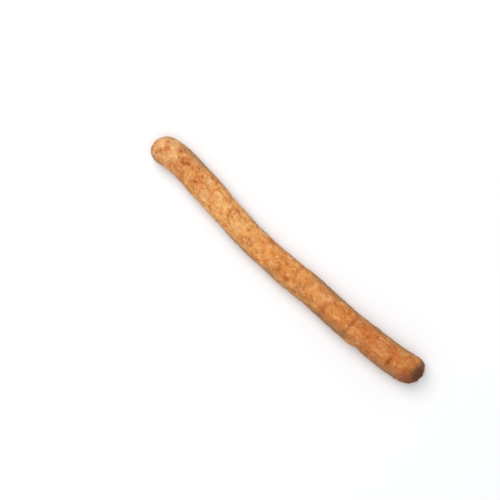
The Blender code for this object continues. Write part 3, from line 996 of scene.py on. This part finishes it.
def makeBark(mottle, fibre, dust):
    look = barkFinish
    material, tree, skin = newMaterial("rootBark", look["shader"])
    grain = grainOf(tree)
    along, wrinkle = attribute(tree, "along"), attribute(tree, "wrinkle")
    spots = place(tree, mottle, {"Vector": grain, **look["mottle"]})
    fibres = place(tree, fibre, {"Vector": grain, **look["fibres"]})
    peeled = ease(attribute(tree, "shaved") + spots["Rough"] * look["peeledRagged"], *look["peeledEdge"])
    ragged = spots["Rough"] * look["stainRagged"]
    # painted shade in the marks' hollows, which is also where dust gathers
    deep = sum(attribute(tree, name) * share for name, share in look["deepness"].items())
    hollowShade = calc("MINIMUM", deep, 1)
    colour = paint(groundColour(along), look, {
        "plate": attribute(tree, "plate"),
        "redSpots": spots["Red"],
        "darkSpots": spots["Dark"],
        "paleSpots": spots["Light"] * ease(along, *look["paleAlong"]),
        "speckle": spots["Speckle"],
        "crackle": fibres["Crackle"] * (1 - peeled * (1 - look["crackleOnPeeled"])),
        # painted shade in the wrinkles' bottoms and a painted highlight on their crests
        "foldShade": ease(wrinkle, *look["foldShade"]),
        "foldHighlight": ease(wrinkle, *look["foldHighlight"]),
        **{name: ease(attribute(tree, name) + ragged, *look["stainEdge"])
           for name in ("redStain", "paleStain", "darkStain")},
        "rim": attribute(tree, "rim"),
        "hollowShade": hollowShade,
        # where the knife peeled the tip: pale wood with the dark ends of its fibres
        "peeled": peeled,
        "fibreEnds": peeled * patches(grain, look["fibreEnds"]),
        "dust": place(tree, dust, {"Vector": grain, "Hollow": hollowShade, "Amount": look["dustAmount"]})["Dust"],
    })
    # painted shade on the flanks, then the stain at the cut end
    colour = blackenEnd(shadeFlanks(colour, tree), tree, spots)
    cover(skin, look, colour, spots["Speckle"], fibres["Height"])
    return material


def makeCutWood(mottle, fibre):
    look = cutFinish
    material, tree, skin = newMaterial("cutWood", look["shader"])
    grain, part = grainOf(tree), attribute(tree, "cutPart")
    sideways, upwards = axis(grain, "Y"), axis(grain, "Z")
    spots = place(tree, mottle, {"Vector": grain, **look["mottle"]})
    barkSpots = place(tree, mottle, {"Vector": grain, **barkFinish["mottle"]})
    fibres = place(tree, fibre, {"Vector": grain, **look["fibres"]})
    rays = patches(roundCut(tree, *look["rayScale"]), look["rayPattern"]) * ease(part, *look["rayReach"])
    vessels = outOf(cells(grain * look["vesselScale"] + look["vesselShift"]), "Distance")
    ring = part + spots["Rough"] * look["ringRagged"]
    ringMiddle, ringWidth = look["ring"]
    colour = paint(look["wood"], look, {
        "rays": rays,
        "lightSpots": spots["Light"],
        # the ends of the root's vessels, as small dark pores
        "pores": fade(vessels, *look["pore"]),
        # paler towards the top, reddish on the -Y side
        "upper": ease(upwards + spots["Rough"] * look["upperRagged"], *look["upperEdge"]),
        "redSide": ease(sideways, *look["redSide"]) * ease(upwards, *look["redTop"]),
        "darkSpots": spots["Dark"],
        "ring": bell((ring - ringMiddle) / ringWidth),
    })
    # outside the ring comes the bark's own burnt edge
    colour = shade(colour, blackenEnd(look["upper"], tree, barkSpots), ease(ring, *look["barkFrom"]))
    cover(skin, look, paint(colour, look, {"checks": attribute(tree, "check")}), rays, fibres["Height"])
    return material


def addPiece(piece):
    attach(piece, "root")


mottle, fibre, dust = mottleGroup(), fibreGroup(), dustGroup()
line, rowCount = drawRootLine()
low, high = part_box("stick")
stick = growMesh(line, growRootTree(rowCount), {
    **rootBark, "Lowest corner": low, "Highest corner": high,
    "Bark": makeBark(mottle, fibre, dust), "Cut wood": makeCutWood(mottle, fibre)}, "barkedRoot")
bpy.data.objects.remove(line)


# Small loose things that stand on the root

def chance(tree, least, most, seed, form="FLOAT"):
    return outOf(add(tree, "FunctionNodeRandomValue", {"Min": least, "Max": most, "Seed": seed},
                     data_type=form))


def alongGrain(tree, normal, yaw, lift):
    # stands on the surface, points along the grain, then is turned and lifted
    laid = outOf(add(tree, "FunctionNodeAxesToRotation", {"Primary Axis": normal,
                     "Secondary Axis": (1, 0, 0)}, primary_axis="Z", secondary_axis="X"))
    angles = xyz(tree, 0.0, calc("RADIANS", lift * -1), calc("RADIANS", yaw))
    own = outOf(add(tree, "FunctionNodeEulerToRotation", {"Euler": angles}))
    return outOf(add(tree, "FunctionNodeRotateRotation", {"Rotation": laid, "Rotate By": own},
                     rotation_space="LOCAL"))


def scatter(tree, take, look, shapes, density, yaw, lift):
    # copies of the shapes on the root, kept off its underside, each of its own size and tone
    seed = take["Seed"]
    above = ease(axis(given(tree, "Normal"), "Z"), *look["offUnderside"])
    spread = add(tree, "GeometryNodeDistributePointsOnFaces", {"Mesh": take["Geometry"], "Seed": seed,
                 "Density": density * above / (mm * mm)})
    size = chance(tree, *look["sizes"], seed + 2) * mm
    copies = outOf(add(tree, "GeometryNodeInstanceOnPoints", {
        "Points": outOf(spread, "Points"), "Instance": shapes, "Pick Instance": True,
        "Instance Index": chance(tree, 0, look["shapes"] - 1, seed + 6, "INT"),
        "Scale": xyz(tree, size, size, size),
        "Rotation": alongGrain(tree, outOf(spread, "Normal"), yaw, lift)}))
    copies = store(copies, "tone", chance(tree, 0.0, 1.0, seed + 3), domain="INSTANCE")
    return step(step(copies, "RealizeInstances"), "SetMaterial", Material=take["Material"])


# Thin plates of cork that are lifting off the bark

corkFlakes = {
    "Flakes": 0.9,  # to a square millimetre
    "Length": 1.15,
    "Width": 0.62,
    "Thickness": 0.05,
    "Cupping": 0.10,
    "Tilt": 9.0,
    "Seed": 23,
    "shapes": 6,
    "corners": 13,
    "upperFace": 0.8,  # as a share of the lower one
    # the torn edge: pattern, how much it swells the plate, and how much it takes off
    "torn": ((1.6, 1.6, 0), 2.0, 0.8),
    "tornSize": 2.2,
    "tornLoss": 0.1,
    "turn": 50.0,  # to either side of the grain
    "sizes": (0.35, 1.05),
    "plateEdge": (0.48, 0.25),  # where they start and are full, by how far the plates' mask is from half
    "unshaved": (0.1, 0.3),  # full and gone, by the knife's depth
    "offUnderside": (-0.45, -0.15),  # by the upward part of the surface's normal
}


def flakeTree():
    look = corkFlakes
    tree, take, give = newTree("shedFlakes", look, ("Material",))
    half = xyz(tree, take["Length"] * 0.5, take["Width"] * 0.5, take["Thickness"])
    plates = tree.nodes.new("GeometryNodeJoinGeometry")
    for k in range(look["shapes"]):
        # each plate is torn along its edge in its own way, and curls up by a share of its width
        plate = outOf(add(tree, "GeometryNodeMeshCone", {"Vertices": look["corners"], "Depth": 1.0,
                          "Radius Top": look["upperFace"], "Radius Bottom": 1.0}), "Mesh")
        corner = given(tree, "Position")
        torn = noise(corner, (*look["torn"], (k * 7, 0, 3))) * look["tornSize"] - look["tornLoss"]
        flat = corner * half * xyz(tree, torn, torn, 1.0)
        cupped = axis(flat, "Y") * axis(flat, "Y") / take["Width"] * take["Cupping"] * 4
        plate = step(plate, "SetPosition", Position=flat + xyz(tree, 0.0, 0.0, cupped))
        tree.links.new(step(plate, "GeometryToInstance").socket, plates.inputs[0])
    bark = ease(attribute(tree, "cutPart"), *rootBark["barkEnd"])
    bark = bark * fade(attribute(tree, "shaved"), *look["unshaved"])
    # they lift along the edges of the thin plates
    plateEdge = ease(calc("ABSOLUTE", attribute(tree, "plate") - 0.5), *look["plateEdge"])
    yaw = chance(tree, -look["turn"], look["turn"], take["Seed"] + 4)
    lift = chance(tree, -1.0, 1.0, take["Seed"] + 5) * take["Tilt"]
    density = take["Flakes"] * bark * plateEdge
    feed(give["Geometry"], scatter(tree, take, look, outOf(plates), density, yaw, lift))
    return tree


# Loose fibres, frayed where the knife and the saw went through

frayedFibres = {
    "On bark": 0.03,  # to a square millimetre
    "On tip": 0.5,
    "Round cut": 1.2,
    "Length": 1.1,
    "Radius": 0.028,
    "Lift": 7.0,
    "Seed": 11,
    "shapes": 1,
    # the thread starts in the bark and bows up: shares of its length, and two heights
    "startAlong": -0.15,
    "startHeight": -0.06,
    "middleAlong": 0.5,
    "middleHeight": 0.05,
    "endAside": 0.12,
    "endRise": 0.16,
    "taper": 0.75,
    "turn": 28.0,
    "tipTurn": 4,  # times as much more at the tip
    "tipLift": 25.0,
    "cutLift": 35,
    "sizes": (0.5, 1.35),
    # where they start and are full: by the knife's depth, the place along, and the cut's radius
    "shaved": (0.3, 0.7),
    "cutAlong": (71.6, 72.7),
    "cutRing": (0.72, 0.86),
    "offCut": (0.6, 0.8),
    "offUnderside": (-0.45, -0.15),
}


def fibreTree():
    look = frayedFibres
    tree, take, give = newTree("frayFibres", look, ("Material",))
    far = take["Length"]
    thread = outOf(add(tree, "GeometryNodeCurveQuadraticBezier", {
        "Resolution": 6, "Start": xyz(tree, far * look["startAlong"], 0.0, look["startHeight"]),
        "Middle": xyz(tree, far * look["middleAlong"], 0.0, look["middleHeight"]),
        "End": xyz(tree, far, far * look["endAside"], far * look["endRise"])}))
    section = outOf(add(tree, "GeometryNodeCurvePrimitiveCircle", {"Resolution": 4,
                        "Radius": take["Radius"]}))
    taper = 1 - outOf(add(tree, "GeometryNodeSplineParameter"), "Factor") * look["taper"]
    strand = outOf(add(tree, "GeometryNodeCurveToMesh", {"Curve": thread, "Profile Curve": section,
                       "Scale": taper, "Fill Caps": True}))
    strand = step(step(strand, "SetShadeSmooth"), "GeometryToInstance")
    part = attribute(tree, "cutPart")
    tip = ease(attribute(tree, "shaved"), *look["shaved"])
    edge = ease(attribute(tree, "along"), *look["cutAlong"]) * ease(part, *look["cutRing"])
    density = take["On bark"] + tip * take["On tip"] + edge * take["Round cut"]
    density = density * ease(part, *look["offCut"])
    yaw = chance(tree, -look["turn"], look["turn"], take["Seed"] + 4) * (tip * look["tipTurn"] + 1)
    lift = take["Lift"] + edge * look["cutLift"] + tip * chance(tree, 0.0, look["tipLift"], take["Seed"] + 5)
    feed(give["Geometry"], scatter(tree, take, look, strand, density, yaw, lift))
    return tree


# The finish of flakes and fibres

scurfFinish = {
    # each one's pale tone, and the scale of the mottle on it
    "corkFlake": ((0.80, 0.47, 0.20), 2.0),
    "frayedFibre": ((0.84, 0.58, 0.32), 3.0),
    "dark": barkFinish["dark"],
    "coats": {"darkTone": ("dark", 0.6), "paleTone": ("pale", 0.3), "darkSpots": ("dark", 0.4)},
    "darkTone": (0.6, 0.0),
    "paleTone": (0.4, 1.0),
    "shader": {"Specular IOR Level": 0.3},
    "roughness": 0.72,
    "spotRoughness": 0.15,
    "bump": (0.4, 0.06),
}


def makeScurf(name, mottle):
    # flakes and fibres: the bark's colour in a tone for each copy, and the root's mottle over it
    pale, mottleScale = scurfFinish[name]
    look = {**scurfFinish, "pale": pale}
    material, tree, skin = newMaterial(name, look["shader"])
    where = outOf(add(tree, "ShaderNodeTexCoord"), "Object") / mm
    spots = place(tree, mottle, {"Vector": where, "Scale": mottleScale, "Streak": 1.0})
    tone = attribute(tree, "tone")
    colour = paint(groundColour(attribute(tree, "along")), look, {
        "darkTone": ease(tone, *look["darkTone"]), "paleTone": ease(tone, *look["paleTone"]),
        "darkSpots": spots["Dark"]})
    # the flakes and fibres take the same painted shade on the flanks as the bark
    colour = blackenEnd(shadeFlanks(colour, tree), tree, spots)
    cover(skin, look, colour, spots["Speckle"], spots["Rough"])
    return material


flakeMaterial, fibreMaterial = makeScurf("corkFlake", mottle), makeScurf("frayedFibre", mottle)
flakes = growMesh(stick, flakeTree(), {**corkFlakes, "Material": flakeMaterial}, "corkFlakes")
fibres = growMesh(stick, fibreTree(), {**frayedFibres, "Material": fibreMaterial}, "frayedFibres")
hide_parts("stick")
for piece in (stick, flakes, fibres):
    addPiece(piece)


# Floor, light and camera

studio = {
    "floorSize": 4000,
    "floor": (0.82, 0.82, 0.82, 1),
    "world": (0.95, 0.97, 1.0, 1),
    "worldStrength": 0.63,
    # each lamp: place in metres, size, power
    "softKey": ((-0.45, 0.12, 0.70), 0.55, 3.8),
    "softTop": ((0.10, -0.10, 0.90), 0.80, 2.6),
    # where the photo's frame shows the origin, and how the stick lies in it
    "photoSize": 500,
    "millimetresToPixel": 0.42064,
    "originInPhoto": (286.5, 262.0),
    "stickTurn": math.degrees(math.atan2(0.6571, 0.7538)),
    "lens": 200.0,
    "sensor": 36.0,
    "middleHeight": 6.5,
}


def layFloor():
    half = studio["floorSize"] / 2 * mm
    mesh = bpy.data.meshes.new("paleFloor")
    corners = [(-half, -half, 0), (half, -half, 0), (half, half, 0), (-half, half, 0)]
    mesh.from_pydata(corners, [], [(0, 1, 2, 3)])
    floor = newObject("paleFloor", mesh)
    mesh.materials.append(newMaterial("paleFloor", {"Base Color": studio["floor"], "Roughness": 0.9,
                                      "Specular IOR Level": 0.1})[0])


def hangLight(name):
    spot, size, power = studio[name]
    light = bpy.data.lights.new(name, "AREA")
    light.shape = "DISK"
    light.size = size
    light.energy = power
    lamp = newObject(name, light)
    lamp.location = spot
    lamp.rotation_euler = (-Vector(spot)).to_track_quat("-Z", "Y").to_euler()


def lightWorld():
    world = bpy.data.worlds.new("studioWorld")
    world.use_nodes = True
    sky = world.node_tree.nodes["Background"].inputs
    sky["Color"].default_value = studio["world"]
    sky["Strength"].default_value = studio["worldStrength"]
    bpy.context.scene.world = world


def setCamera():
    sizes = studio
    turn = math.radians(sizes["stickTurn"])
    right = Vector((math.cos(turn), math.sin(turn), 0))
    up = Vector((-math.sin(turn), math.cos(turn), 0))
    centre = sizes["photoSize"] / 2
    toMetres = sizes["millimetresToPixel"] * mm
    across, down = sizes["originInPhoto"]
    middle = (right * (centre - across) + up * (down - centre)) * toMetres
    distance = sizes["lens"] / sizes["sensor"] * sizes["photoSize"] * toMetres
    data = bpy.data.cameras.new("photoCamera")
    data.lens = sizes["lens"]
    data.sensor_width = sizes["sensor"]
    camera = newObject("photoCamera", data)
    camera.location = middle + Vector((0, 0, distance + sizes["middleHeight"] * mm))
    camera.rotation_euler = Matrix((right, up, Vector((0, 0, 1)))).transposed().to_euler()
    bpy.context.scene.camera = camera


layFloor()
hangLight("softKey")
hangLight("softTop")
lightWorld()
bpy.context.scene.view_settings.view_transform = "Standard"
setCamera()
print("studio set")
